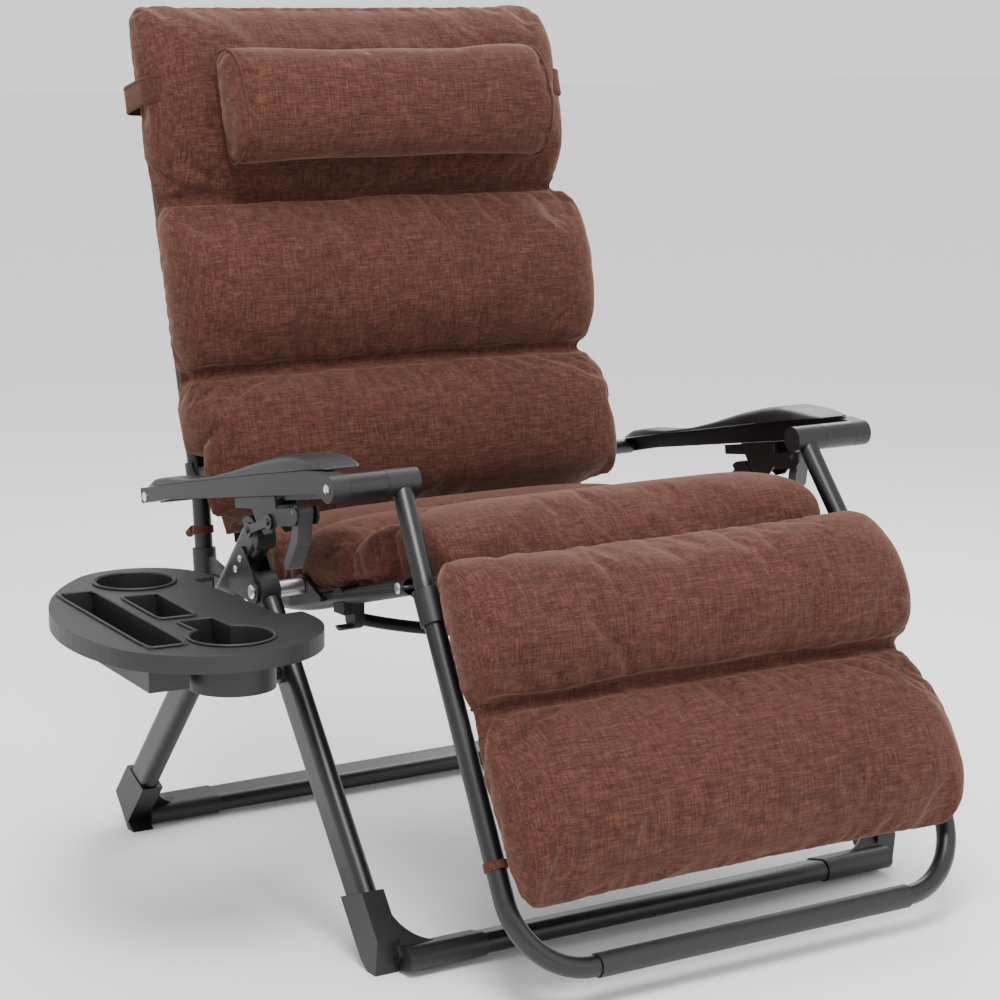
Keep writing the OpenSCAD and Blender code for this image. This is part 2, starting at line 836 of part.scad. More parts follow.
// Locking carriages: two side plates joined by a block, with a bracket for the lever
module lock_carriages() {
    outer = -leg_out - plate_t - 0.1;
    placed() color(black_plastic) both_sides() difference() {
        union() {
            for (x = [outer, -leg_in + 0.4]) slab(x, x + plate_t - 0.2) {
                polygon([
                    arm_pt(258, -5.8), arm_pt(370, -5.8), arm_pt(370, -38), arm_pt(352, -52),
                    arm_pt(332, -54), arm_pt(314, -40), arm_pt(304, -21), arm_pt(258, -19)
                ]);
                polygon([
                    arm_pt(369, -21.5), arm_pt(420, -21.5), arm_pt(424, -26), arm_pt(424, -36),
                    arm_pt(416, -44), arm_pt(369, -44)
                ]);
            }
            slab(outer, -leg_in + 0.5) polygon([
                arm_pt(318, -12.5), arm_pt(348, -12.5), arm_pt(348, -19), arm_pt(322, -19)
            ]);
        }
        pin_x(-420, -360, lever_pivot, pin_r + fit);
    }
}

// Release lever hanging from the carriage, squeezed to free the recline
module lock_lever(s) {
    tip = arm_pt(372, -92);
    elbow = arm_pt(398, -62);
    placed() color(grey_plastic) {
        slab(s * 391 - 10, s * 391 + 10) {
            link2(lever_pivot, elbow, 8);
            link2(elbow, tip, 7);
        }
        pin_x(s * 391.9 - 15.9, s * 391.9 + 15.9, lever_pivot, pin_r);
    }
}

module lock_lever_right() { lock_lever(-1); }
module lock_lever_left() { lock_lever(1); }

// Dog-bone links between the rear legs' upper ends and the carriages
module lock_links() {
    face = -leg_out - plate_t - 0.4;
    placed() color(black_steel) both_sides() {
        slab(face - plate_t, face) {
            disc2(leg_top, 10);
            disc2(link_front, 10);
            link2(leg_top, link_front, 5.5);
        }
        rivet_head(face - plate_t, leg_top, 4.5);
        rivet_head(face - plate_t, link_front, 4.5);
        pin_x(face - 1, -leg_in, leg_top, pin_r);
    }
}

// ---- side tray ----

tray_mid_x = -tray_in_x - tray_end_r;
tray_front_y = -223;
tray_rear = [-tray_in_x - 92.5, 56];
tray_rear_r = 92.5;
tray_side_r = 400;
cup_1 = [-519, 63];
cup_2 = [-553, -279];

// Point on the knob's axis, at a distance from the middle of the socket
function knob_pt(d) = [-433, (peg_1[0] + peg_2[0]) / 2 - 0.8 * d, (peg_1[1] + peg_2[1]) / 2 + 0.6 * d];

// Centre of the tray's long outer arc, which runs smoothly into both round ends
tray_side = let (
    a = tray_side_r - tray_end_r, b = tray_side_r - tray_rear_r,
    d = tray_rear - [tray_mid_x, tray_front_y], l = norm(d),
    e = (a * a - b * b + l * l) / (2 * l), u = d / l
) [tray_mid_x, tray_front_y] + e * u + sqrt(a * a - e * e) * [u[1], -u[0]];

function arc2(centre, r, from, to, n) =
    [for (i = [0 : n]) let (a = from + (to - from) * i / n) centre + r * [cos(a), sin(a)]];

module tray_outline2(grow) {
    front = [tray_mid_x, tray_front_y];
    to_front = atan2(front[1] - tray_side[1], front[0] - tray_side[0]);
    to_rear = atan2(tray_rear[1] - tray_side[1], tray_rear[0] - tray_side[0]);
    difference() {
        polygon(concat(
            arc2(tray_rear, tray_rear_r + grow, 0, to_rear, 20),
            arc2(tray_side, tray_side_r + grow, to_rear, (to_front + 360) % 360, 18),
            arc2(front, tray_end_r + grow, (to_front + 360) % 360, 360, 32)
        ));
        translate([-448 - grow, -202 - grow]) square([60, 240 + 2 * grow]);
    }
}

module long_slot2(grow) {
    translate([-626, -125]) rotate(-4.5) translate([-22 - grow, -160 - grow])
        square([44 + 2 * grow, 320 + 2 * grow]);
}

module short_slot2(grow) {
    translate([-557, -88]) rotate(-5) translate([-22 - grow, -66 - grow])
        square([44 + 2 * grow, 132 + 2 * grow]);
}

module cup2_outline(grow) {
    translate(cup_2) circle(cup_r + grow);
    translate([cup_2[0] - 21 - grow, cup_2[1]]) square([42 + 2 * grow, 96 + grow]);
}

// Moulded tray with two cup holders, a long slot, a short slot and a peg socket
module side_tray() {
    slot_depth = 52;
    placed() color(black_plastic) difference() {
        union() {
            translate([0, 0, tray_top - 5]) linear_extrude(5) tray_outline2(0);
            translate([0, 0, tray_top - 22]) linear_extrude(18) difference() {
                tray_outline2(0);
                tray_outline2(-tray_wall);
            }
            translate([cup_1[0], cup_1[1], tray_top - cup_depth])
                cylinder(r = cup_r + tray_wall, h = cup_depth + 2);
            translate([0, 0, tray_top - cup_depth]) linear_extrude(cup_depth + 2)
                cup2_outline(tray_wall);
            translate([0, 0, tray_top - slot_depth]) linear_extrude(slot_depth + 2) {
                long_slot2(tray_wall);
                short_slot2(tray_wall);
            }
            slab(-498, -tray_in_x) link2(peg_1, peg_2, 15);
            slab(-498, -tray_in_x - 31) polygon([
                [-82, 367], [-60, 421], [-150, 421], [-131, 319]
            ]);
        }
        translate([cup_1[0], cup_1[1], tray_top - cup_depth + tray_wall])
            cylinder(r = cup_r, h = cup_depth + 2);
        translate([0, 0, tray_top - cup_depth + tray_wall]) linear_extrude(cup_depth + 2)
            cup2_outline(0);
        translate([0, 0, tray_top - slot_depth + tray_wall]) linear_extrude(slot_depth + 2) {
            long_slot2(0);
            short_slot2(0);
        }
        for (p = [peg_1, peg_2]) pin_x(-503, -tray_in_x + 1, p, peg_r + 0.1);
        rod(knob_pt(2), knob_pt(20), pin_r + fit);
    }
}

// Thumb knob whose stud clamps the tray's socket on its pegs
module tray_knob() {
    placed() color(black_plastic) {
        rod(knob_pt(4), knob_pt(17), pin_r);
        rod(knob_pt(16), knob_pt(34), 11);
        for (k = [0 : 5]) along(knob_pt(20), knob_pt(34)) rotate([0, 0, k * 60])
            translate([10, 0, 0]) cylinder(r = 3, h = 14);
    }
}

front_leg_right();
front_leg_left();
front_floor_bar();
front_feet();
front_leg_plugs();
tray_bracket();
rear_leg_right();
rear_leg_left();
rear_floor_bar();
rear_feet();
rear_leg_plugs();
hinge_plates();
hinge_plate_rivets();
apex_pins();
seat_rail_right();
seat_rail_left();
seat_hangers();
seat_cross_tube();
cross_tube_clamps();
seat_sling();
seat_lacing();
seat_cushion();
back_pivot_pins();
back_tube_right();
back_tube_left();
back_top_tube();
back_lower_tube();
back_brackets();
back_sling();
back_lacing();
back_cushion();
back_ties();
head_pillow();
pillow_strap();
knee_pins();
foot_tube_right();
foot_tube_left();
foot_bar();
foot_grip();
knee_brackets();
tee_fittings();
leg_sling();
leg_lacing();
leg_cushion();
leg_ties();
arm_front_tubes();
arm_rail_right();
arm_rail_left();
arm_pad_right();
arm_pad_left();
arm_rear_spindles();
arm_rivets();
lock_tracks();
track_shoes();
lock_carriages();
lock_lever_right();
lock_lever_left();
lock_links();
side_tray();
tray_knob();
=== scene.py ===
import json
import math

import bmesh
import bpy
import numpy as np
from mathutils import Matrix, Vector


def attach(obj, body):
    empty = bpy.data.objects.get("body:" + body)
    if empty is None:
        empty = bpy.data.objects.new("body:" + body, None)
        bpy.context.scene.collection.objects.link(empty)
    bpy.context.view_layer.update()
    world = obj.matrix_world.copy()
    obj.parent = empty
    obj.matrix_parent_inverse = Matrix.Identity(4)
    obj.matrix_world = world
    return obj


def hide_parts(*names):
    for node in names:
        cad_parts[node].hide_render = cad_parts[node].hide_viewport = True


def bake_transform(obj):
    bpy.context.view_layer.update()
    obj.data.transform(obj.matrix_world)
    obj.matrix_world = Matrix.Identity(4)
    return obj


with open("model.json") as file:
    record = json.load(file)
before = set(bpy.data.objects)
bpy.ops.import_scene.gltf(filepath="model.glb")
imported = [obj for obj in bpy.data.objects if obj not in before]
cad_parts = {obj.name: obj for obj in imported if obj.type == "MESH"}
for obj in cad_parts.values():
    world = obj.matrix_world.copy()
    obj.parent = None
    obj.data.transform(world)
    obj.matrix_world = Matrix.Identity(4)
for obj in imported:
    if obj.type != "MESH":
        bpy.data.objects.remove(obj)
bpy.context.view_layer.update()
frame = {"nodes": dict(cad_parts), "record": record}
NODES = frame["nodes"]

# Lengths here are in millimetres in the chair's own frame, whose origin is on
# the floor in the chair's middle plane. row() turns them into the row frame.
CHAIR_X = 143.096
CHAIR_Y = 60.112


def row(x, y, z):
    return Vector(((x + CHAIR_X) / 1000, (y + CHAIR_Y) / 1000, z / 1000))


def rows(points):
    points = np.asarray(points, float)
    return (points + np.array([CHAIR_X, CHAIR_Y, 0.0])) / 1000


# ---- camera, light and floor ----

CAMERA_AT = (-1958.8, -3080.0, 1159.8)
CAMERA_YAW = -32.43
CAMERA_PITCH = 10.38
LENS = 97.95

camera_data = bpy.data.cameras.new("camera")
camera_data.lens = LENS
camera_data.sensor_width = 36
camera = bpy.data.objects.new("camera", camera_data)
camera.location = row(*CAMERA_AT)
camera.rotation_euler = (math.radians(90 - CAMERA_PITCH), 0, math.radians(CAMERA_YAW))
bpy.context.scene.collection.objects.link(camera)
bpy.context.scene.camera = camera


def area_light(name, at, target, size, power, colour=(1, 1, 1)):
    data = bpy.data.lights.new(name, "AREA")
    data.shape = "DISK"
    data.size = size
    data.energy = power
    data.color = colour
    light = bpy.data.objects.new(name, data)
    light.location = row(*at)
    light.rotation_euler = (row(*target) - row(*at)).to_track_quat("-Z", "Y").to_euler()
    bpy.context.scene.collection.objects.link(light)


area_light("key", (-1100, -1700, 3000), (0, -50, 550), 1.3, 105)
area_light("front_fill", (1200, -3000, 1500), (0, -200, 500), 2.2, 14)
area_light("rim", (1700, 1500, 2100), (0, 100, 600), 1.4, 30)
area_light("top", (100, 300, 3200), (0, 0, 400), 2.2, 30)

world = bpy.data.worlds.new("studio")
bpy.context.scene.world = world
world.use_nodes = True
world.node_tree.nodes["Background"].inputs["Color"].default_value = (1, 1, 1, 1)
world.node_tree.nodes["Background"].inputs["Strength"].default_value = 1.25


# ---- materials ----

def new_material(name):
    material = bpy.data.materials.new(name)
    material.use_nodes = True
    nodes = material.node_tree.nodes
    return material, material.node_tree, nodes["Principled BSDF"]


def add_node(tree, kind, settings=None, **inputs):
    node = tree.nodes.new(kind)
    for key, value in (settings or {}).items():
        setattr(node, key, value)
    for key, value in inputs.items():
        socket = node.inputs[int(key[1:])] if key[0] == "i" and key[1:].isdigit() else node.inputs[key]
        if isinstance(value, bpy.types.NodeSocket):
            tree.links.new(value, socket)
        else:
            socket.default_value = value
    return node


def stretched(tree, source, scale):
    node = add_node(tree, "ShaderNodeMapping", Vector=source)
    node.inputs["Scale"].default_value = scale
    return node.outputs["Vector"]


def noise(tree, vector, scale=1.0, detail=3.0, roughness=0.55):
    return add_node(
        tree, "ShaderNodeTexNoise",
        Vector=vector, Scale=scale, Detail=detail, Roughness=roughness,
    ).outputs["Fac"]


def ramp(tree, factor, stops):
    node = add_node(tree, "ShaderNodeValToRGB", Fac=factor)
    elements = node.color_ramp.elements
    while len(elements) < len(stops):
        elements.new(0.5)
    for element, (place, colour) in zip(elements, stops):
        element.position = place
        element.color = (*colour, 1) if len(colour) == 3 else colour
    return node.outputs["Color"]


def maths(tree, operation, a, b=0.5, c=0.0):
    return add_node(
        tree, "ShaderNodeMath", {"operation": operation}, i0=a, i1=b, i2=c
    ).outputs["Value"]


def weighted_sum(tree, a, weight_a, b, weight_b):
    return maths(tree, "ADD", maths(tree, "MULTIPLY", a, weight_a), maths(tree, "MULTIPLY", b, weight_b))


def mix_colour(tree, blend, factor, a, b):
    node = add_node(tree, "ShaderNodeMix", {"data_type": "RGBA", "blend_type": blend})
    for socket, value in ((node.inputs[0], factor), (node.inputs[6], a), (node.inputs[7], b)):
        if isinstance(value, bpy.types.NodeSocket):
            tree.links.new(value, socket)
        else:
            socket.default_value = value
    return node.outputs[2]


def bump(tree, height, strength, distance, normal=None):
    node = add_node(tree, "ShaderNodeBump", Strength=strength, Distance=distance, Height=height)
    if normal is not None:
        tree.links.new(normal, node.inputs["Normal"])
    return node.outputs["Normal"]


def cloth_material(name, dark, middle, light, thread=620.0):
    """Heathered plain weave: slubby threads both ways, with uneven dye."""
    material, tree, shader = new_material(name)
    place = add_node(tree, "ShaderNodeTexCoord").outputs["Object"]
    facing = add_node(tree, "ShaderNodeSeparateXYZ", Vector=add_node(
        tree, "ShaderNodeTexCoord").outputs["Normal"]).outputs["X"]
    side = add_node(tree, "ShaderNodeMapRange", Value=maths(tree, "ABSOLUTE", facing))
    side.inputs["From Min"].default_value = 0.6
    side.inputs["From Max"].default_value = 0.85
    side = side.outputs["Result"]

    def blended(front, end):
        pair = [noise(tree, stretched(tree, place, scale), 1.0, 2.0, 0.6) for scale in (front, end)]
        return maths(tree, "MULTIPLY_ADD", maths(tree, "SUBTRACT", pair[1], pair[0]), side, pair[0])

    thin = thread * 0.09
    weft = blended((thin, thread, thread), (thread, thin, thread))
    warp = blended((thread, thin, thin), (thread, thread, thin))
    slub = blended((28, 190, 190), (190, 28, 190))
    cross = weighted_sum(tree, weft, 0.5, warp, 0.5)
    mixed = weighted_sum(tree, cross, 0.78, slub, 0.22)
    colour = ramp(tree, mixed, [(0.36, dark), (0.5, middle), (0.66, light)])
    broad = noise(tree, place, 5.0, 3.0, 0.5)
    shade = ramp(tree, broad, [(0.3, (0.86, 0.86, 0.86)), (0.7, (1.08, 1.06, 1.05))])
    tree.links.new(mix_colour(tree, "MULTIPLY", 0.5, colour, shade), shader.inputs["Base Color"])
    height = maths(tree, "ADD", cross, maths(tree, "MULTIPLY", slub, 0.3))
    tree.links.new(bump(tree, height, 0.75, 0.0007), shader.inputs["Normal"])
    shader.inputs["Roughness"].default_value = 0.92
    shader.inputs["Specular IOR Level"].default_value = 0.25
    shader.inputs["Sheen Weight"].default_value = 0.25
    shader.inputs["Sheen Roughness"].default_value = 0.45
    shader.inputs["Sheen Tint"].default_value = (0.85, 0.5, 0.38, 1)
    return material


def coated_material(name, base, worn, grain, depth, rough):
    """Powder coat or moulded plastic: orange peel or grain, dust and rubbed places."""
    material, tree, shader = new_material(name)
    place = add_node(tree, "ShaderNodeTexCoord").outputs["Object"]
    fine = noise(tree, place, grain, 2.0, 0.6)
    broad = noise(tree, place, 9.0, 5.0, 0.6)
    rubbed = ramp(tree, broad, [(0.52, (0, 0, 0)), (0.8, (1, 1, 1))])
    wear = maths(tree, "MULTIPLY", rubbed, 0.3)
    colour = mix_colour(tree, "MIX", wear, (*base, 1), (*worn, 1))
    tree.links.new(colour, shader.inputs["Base Color"])
    roughness = add_node(tree, "ShaderNodeMapRange", Value=broad)
    roughness.inputs["To Min"].default_value = rough - 0.07
    roughness.inputs["To Max"].default_value = rough + 0.09
    tree.links.new(roughness.outputs["Result"], shader.inputs["Roughness"])
    rounded = add_node(tree, "ShaderNodeBevel", {"samples": 4}, Radius=0.0012).outputs["Normal"]
    tree.links.new(bump(tree, fine, 0.5, depth, rounded), shader.inputs["Normal"])
    return material


def metal_material(name, base, rough):
    material, tree, shader = new_material(name)
    place = add_node(tree, "ShaderNodeTexCoord").outputs["Object"]
    scratches = noise(tree, stretched(tree, place, (900, 900, 120)), 1.0, 3.0)
    stain = noise(tree, place, 60.0, 3.0)
    colour = ramp(tree, stain, [(0.3, tuple(0.8 * c for c in base)), (0.7, base)])
    tree.links.new(colour, shader.inputs["Base Color"])
    shader.inputs["Metallic"].default_value = 1.0
    roughness = add_node(tree, "ShaderNodeMapRange", Value=scratches)
    roughness.inputs["To Min"].default_value = rough - 0.08
    roughness.inputs["To Max"].default_value = rough + 0.12
    tree.links.new(roughness.outputs["Result"], shader.inputs["Roughness"])
    tree.links.new(bump(tree, scratches, 0.2, 0.00005), shader.inputs["Normal"])
    return material


def mesh_material(name, dark, light):
    """Open woven sling cloth: a square weave of coated yarn."""
    material, tree, shader = new_material(name)
    place = add_node(tree, "ShaderNodeTexCoord").outputs["Object"]
    split = add_node(tree, "ShaderNodeSeparateXYZ", Vector=place)
    across = maths(tree, "SINE", maths(tree, "MULTIPLY", split.outputs["X"], 2600.0))
    lengthwise = maths(tree, "SUBTRACT", split.outputs["Z"], split.outputs["Y"])
    along = maths(tree, "SINE", maths(tree, "MULTIPLY", lengthwise, 2100.0))
    weave = maths(tree, "MULTIPLY_ADD", maths(tree, "MULTIPLY", across, along), 0.5, 0.5)
    fleck = noise(tree, place, 420.0, 2.0)
    mixed = weighted_sum(tree, weave, 0.6, fleck, 0.4)
    tree.links.new(ramp(tree, mixed, [(0.25, dark), (0.75, light)]), shader.inputs["Base Color"])
    tree.links.new(bump(tree, weave, 0.8, 0.0005), shader.inputs["Normal"])
    shader.inputs["Roughness"].default_value = 0.72
    return material


BROWN = cloth_material(
    "brown_cloth", (0.021, 0.0062, 0.0042), (0.056, 0.0178, 0.0118), (0.118, 0.043, 0.028)
)
BROWN_BAND = cloth_material(
    "brown_band", (0.020, 0.0062, 0.0042), (0.046, 0.0145, 0.0096), (0.084, 0.03, 0.02), 900.0
)
SEAM = cloth_material(
    "seam_thread", (0.03, 0.009, 0.006), (0.055, 0.017, 0.011), (0.09, 0.03, 0.02), 1500.0
)
STEEL = coated_material(
    "black_powder_coat", (0.003, 0.003, 0.0034), (0.009, 0.009, 0.0095), 950.0, 0.00006, 0.36
)
PLASTIC = coated_material(
    "black_nylon", (0.0045, 0.0045, 0.0048), (0.012, 0.012, 0.0125), 1500.0, 0.00009, 0.45
)
PAD = coated_material(
    "arm_pad_plastic", (0.008, 0.0085, 0.0095), (0.02, 0.02, 0.022), 1300.0, 0.00012, 0.42
)
TRAY = coated_material("tray_plastic", (0.0075, 0.0075, 0.008), (0.017, 0.017, 0.018), 1500.0, 0.00014, 0.5)
GREY = coated_material("grey_nylon", (0.05, 0.05, 0.053), (0.08, 0.08, 0.085), 1500.0, 0.00008, 0.4)
GRIP = coated_material("grip_sleeve", (0.008, 0.008, 0.0085), (0.018, 0.018, 0.019), 800.0, 0.0001, 0.5)
ZINC = metal_material("bright_zinc", (0.72, 0.73, 0.75), 0.28)
SLING = mesh_material("sling_mesh", (0.008, 0.007, 0.007), (0.035, 0.03, 0.029))
CORD = mesh_material("braided_cord", (0.007, 0.007, 0.007), (0.03, 0.03, 0.031))

SLOT_MATERIAL = {
    "black_steel": STEEL, "bright_steel": ZINC, "black_plastic": PLASTIC, "grey_plastic": GREY,
    "tray_plastic": TRAY, "pad_plastic": PAD, "grip_rubber": GRIP, "brown_cloth": BROWN,
    "sling_mesh": SLING, "elastic_cord": CORD,
}

for part in frame["record"]["subparts"]:
    mesh = NODES[part["node"]].data
    mesh.materials.clear()
    mesh.materials.append(SLOT_MATERIAL[part["material_slot"]])


# ---- mesh helpers ----

def add_object(name, points, faces, material, smooth=True):
    mesh = bpy.data.meshes.new(name)
    mesh.from_pydata([tuple(p) for p in rows(points)], [], faces)
    mesh.validate()
    shell = bmesh.new()
    shell.from_mesh(mesh)
    bmesh.ops.recalc_face_normals(shell, faces=shell.faces)
    shell.to_mesh(mesh)
    shell.free()
    for polygon in mesh.polygons:
        polygon.use_smooth = smooth
    mesh.materials.append(material)
    piece = bpy.data.objects.new(name, mesh)
    bpy.context.scene.collection.objects.link(piece)
    return piece


def loft(rings, closed=True, caps=True):
    """Points and faces of a skin over equal rings of points."""
    count = len(rings[0])
    points = [p for ring in rings for p in ring]
    faces = []
    for i in range(len(rings) - 1):
        for j in range(count if closed else count - 1):
            k = (j + 1) % count
            faces.append((i * count + j, i * count + k, (i + 1) * count + k, (i + 1) * count + j))
    if caps:
        faces.append(tuple(range(count))[::-1])
        faces.append(tuple((len(rings) - 1) * count + j for j in range(count)))
    return points, faces


def apply_modifiers(piece):
    graph = bpy.context.evaluated_depsgraph_get()
    graph.update()
    mesh = bpy.data.meshes.new_from_object(piece.evaluated_get(graph))
    piece.modifiers.clear()
    old = piece.data
    piece.data = mesh
    bpy.data.meshes.remove(old)
    for polygon in mesh.polygons:
        polygon.use_smooth = True


def coordinates(piece):
    co = np.empty(len(piece.data.vertices) * 3)
    piece.data.vertices.foreach_get("co", co)
    return co.reshape(-1, 3)


def set_coordinates(piece, co):
    piece.data.vertices.foreach_set("co", np.ascontiguousarray(co).ravel())
    piece.data.update()


def normals(piece):
    no = np.empty(len(piece.data.vertices) * 3)
    piece.data.vertex_normals.foreach_get("vector", no)
    return no.reshape(-1, 3)


def tube_along(name, path, radius, material, closed=False, sides=10):
    """A round cord through points, in the chair's millimetres."""
    path = np.asarray(path, float)
    count = len(path)
    rings = []
    up = np.array([0.0, 0.0, 1.0])
    for i in range(count):
        before = path[(i - 1) % count] if closed or i > 0 else path[i]
        after = path[(i + 1) % count] if closed or i < count - 1 else path[i]
        along = (after - before) / np.linalg.norm(after - before)
        side = np.cross(along, up)
        if np.linalg.norm(side) < 0.2:
            side = np.cross(along, np.array([0.0, 1.0, 0.0]))
        side /= np.linalg.norm(side)
        over = np.cross(side, along)
        rings.append([
            path[i] + radius * (math.cos(a) * side + math.sin(a) * over)
            for a in np.linspace(0, 2 * math.pi, sides, endpoint=False)
        ])
    if closed:
        rings.append(rings[0])
    points, faces = loft(rings, caps=not closed)
    return add_object(name, points, faces, material)


def squared(value, power):
    """A cosine or sine pushed out towards a square: the higher the power, the squarer."""
    return math.copysign(abs(value) ** (2 / power), value)


def subdivide(piece):
    smooth = piece.modifiers.new("subdivision", "SUBSURF")
    smooth.levels = 1
    smooth.render_levels = 1


def value_noise(points, seed):
    """Smooth repeatable noise from -1 to 1 at 3-D points."""
    cell = np.floor(points).astype(np.int64)
    part = points - cell
    part = part * part * (3 - 2 * part)
    total = np.zeros(len(points))
    for corner in range(8):
        offset = np.array([corner & 1, (corner >> 1) & 1, (corner >> 2) & 1])
        c = cell + offset
        h = (c[:, 0] * 73856093) ^ (c[:, 1] * 19349663) ^ (c[:, 2] * 83492791) ^ (seed * 2654435761)
        h = (h ^ (h >> 13)) * 1274126177
        value = ((h >> 8) & 0xFFFF) / 32767.5 - 1
        weight = np.prod(np.where(offset == 1, part, 1 - part), axis=1)
        total += value * weight
    return total


# ---- cushions ----

class Plane:
    """A side-view frame: t runs along the cushion and d stands out of it."""

    def __init__(self, origin, along, out):
        self.origin = np.array(origin, float)
        self.along = np.array(along, float)
        self.out = np.array(out, float)

    def point(self, x, t, d):
        yz = self.origin + t * self.along + d * self.out
        return (x, yz[0], yz[1])

    def flat(self, co):
        """Columns x, t, d in millimetres, from row-frame metres."""
        chair = co * 1000 - np.array([CHAIR_X, CHAIR_Y, 0.0])
        yz = chair[:, 1:] - self.origin
        return np.stack([chair[:, 0], yz @ self.along, yz @ self.out], axis=1)

    def unflat(self, xtd):
        yz = self.origin + xtd[:, 1:2] * self.along + xtd[:, 2:3] * self.out
        return rows(np.concatenate([xtd[:, :1], yz], axis=1))


BACK = Plane((303, 480), (0.2484, 0.9687), (-0.9687, 0.2484))
LEG = Plane((-340, 472), (-0.4944, -0.8692), (-0.8692, 0.4944))
SEAT = Plane((-20, 389), (-0.9662, 0.2578), (0.2578, 0.9662))


def roll_height(t, rolls):
    """Height of a row of rolls at t. A roll is (from, to, height at from, height at to, crest, skew)."""
    for start, end, low_a, low_b, crest, skew in rolls:
        if start <= t <= end:
            f = ((t - start) / (end - start)) ** skew
            low = low_a + (low_b - low_a) * (t - start) / (end - start)
            bulge = max(0.0, 1 - abs(2 * f - 1) ** 2.3) ** 0.62
            return low + (crest - low) * bulge
    return rolls[0][2] if t < rolls[0][0] else rolls[-1][3]


# How square a cushion's section is at its sides, its front corners and its rear corners
SIDE_POWER = 8.0
FRONT_POWER = 4.2
REAR_POWER = 14


def cushion_rings(plane, rolls, half_width, base, seam, count_t, count_round, end_round):
    """Cross-section rings of a cushion that is flat behind and crowned in front."""
    start, end = rolls[0][0], rolls[-1][1]
    rings = []
    inner = np.linspace(start, end, count_t)
    for t in inner:
        near = min(t - start, end - t)
        corner = 1.0
        if near < end_round:
            corner = math.sqrt(max(0.0, 1 - (1 - max(near, 0.6) / end_round) ** 2))
        crest = roll_height(t, rolls)
        side = base + seam * (crest - base)
        wide = half_width(t) - (1 - corner) * end_round * 0.8
        ring = []
        for a in np.linspace(0, 2 * math.pi, count_round, endpoint=False):
            c, s = math.cos(a), math.sin(a)
            x = wide * squared(c, SIDE_POWER)
            lift = abs(s) ** (2 / (FRONT_POWER if s > 0 else REAR_POWER))
            reach = (crest - side) if s > 0 else (side - base)
            d = side + math.copysign(lift * reach, s) * (0.35 + 0.65 * corner)
            ring.append(plane.point(x, t, d))
        rings.append(ring)
    return rings


def inflate(piece, plane, seams, base, cap, pressure=4.0, grow=0.0, voxel=0.0055):
    """Swells a pad by cloth simulation, held at its seams and its back."""
    remesh = piece.modifiers.new("remesh", "REMESH")
    remesh.mode = "VOXEL"
    remesh.voxel_size = voxel
    apply_modifiers(piece)
    start = coordinates(piece)
    xtd = plane.flat(start)
    held = piece.vertex_groups.new(name="held")
    near_seam = np.zeros(len(start))
    for t in seams:
        near_seam = np.maximum(near_seam, np.clip(1.5 - np.abs(xtd[:, 1] - t) / 5, 0, 1))
    behind = np.clip(1.5 - (xtd[:, 2] - base) / 4, 0, 1)
    weight = np.maximum(near_seam, behind)
    for level in (0.25, 0.5, 0.75, 1.0):
        chosen = np.nonzero((weight > level - 0.125) & (weight <= level + 0.125))[0]
        held.add(chosen.tolist(), level, "REPLACE")
    held.add(np.nonzero(weight > 0.875)[0].tolist(), 1.0, "REPLACE")
    cloth = piece.modifiers.new("cloth", "CLOTH")
    settings = cloth.settings
    settings.quality = 5
    settings.mass = 0.25
    settings.tension_stiffness = 12
    settings.compression_stiffness = 12
    settings.shear_stiffness = 4
    settings.bending_stiffness = 0.35
    settings.use_pressure = True
    settings.uniform_pressure_force = pressure
    settings.shrink_min = -grow
    settings.vertex_group_mass = "held"
    settings.effector_weights.gravity = 0
    cloth.collision_settings.use_collision = False
    cloth.point_cache.frame_start = 1
    cloth.point_cache.frame_end = 20
    for number in range(1, 21):
        bpy.context.scene.frame_set(number)
    apply_modifiers(piece)
    moved = coordinates(piece) - start
    length = np.linalg.norm(moved, axis=1, keepdims=True)
    moved *= np.minimum(1, cap / 1000 / np.maximum(length, 1e-9))
    set_coordinates(piece, start + moved)
    piece.vertex_groups.clear()
    bpy.context.scene.frame_set(1)


def sew(piece, plane, seams, base, depth, width, pucker, seed):
    """Presses sewn channels into a pad's front and gathers the cloth beside them."""
    co = coordinates(piece)
    out = normals(piece)
    xtd = plane.flat(co)
    front = np.clip((xtd[:, 2] - base - 6) / 14, 0, 1)
    shift = np.zeros(len(co))
    for number, t in enumerate(seams):
        line = np.stack([xtd[:, 0] / 70, np.full(len(co), float(number)), np.zeros(len(co))], 1)
        wander = 2.2 * value_noise(line, seed)
        away = np.abs(xtd[:, 1] - t - wander)
        shift -= depth * np.exp(-((away / width) ** 2))
        reach = np.exp(-((away - 10) / 34) ** 2) * np.clip(away / 8, 0, 1)
        gather = value_noise(xtd / (13, 55, 60), seed + 7 + number)
        broad = value_noise(xtd / (37, 70, 80), seed + 31 + number)
        shift += pucker * reach * (0.55 * gather + 0.8 * broad)
    soft = value_noise(xtd / (120, 75, 90), seed + 90)
    shift += 1.1 * soft
    set_coordinates(piece, co + out * (shift * front / 1000)[:, None])


def finish_pad(piece):
    subdivide(piece)


def taper(stops):
    places = [s[0] for s in stops]
    widths = [s[1] for s in stops]
    return lambda t: float(np.interp(t, places, widths))


# Backrest cushion: head section above, two lumbar rolls below
BACK_BASE = 17.5
BACK_SEAMS = [161, 408]
BACK_ROLLS = [
    (-60, 161, 40, 70, 132, 0.9),
    (161, 408, 70, 50, 126, 1.0),
    (408, 690, 50, 34, 92, 1.0),
]
back_width = taper([
    (-60, 331), (120, 336), (161, 328), (210, 336), (300, 337),
    (380, 334), (408, 327), (470, 334), (620, 337), (690, 333),
])


# The armrests' rear pivots: they start PIVOT_X from the middle plane, end at PIVOT_T up the
# back and at PIVOT_D out from it, and the pad swells past them over PIVOT_EASE
PIVOT_X, PIVOT_T, PIVOT_D, PIVOT_EASE = 289, 42, 66, 26
PIVOT_SWELL = 60


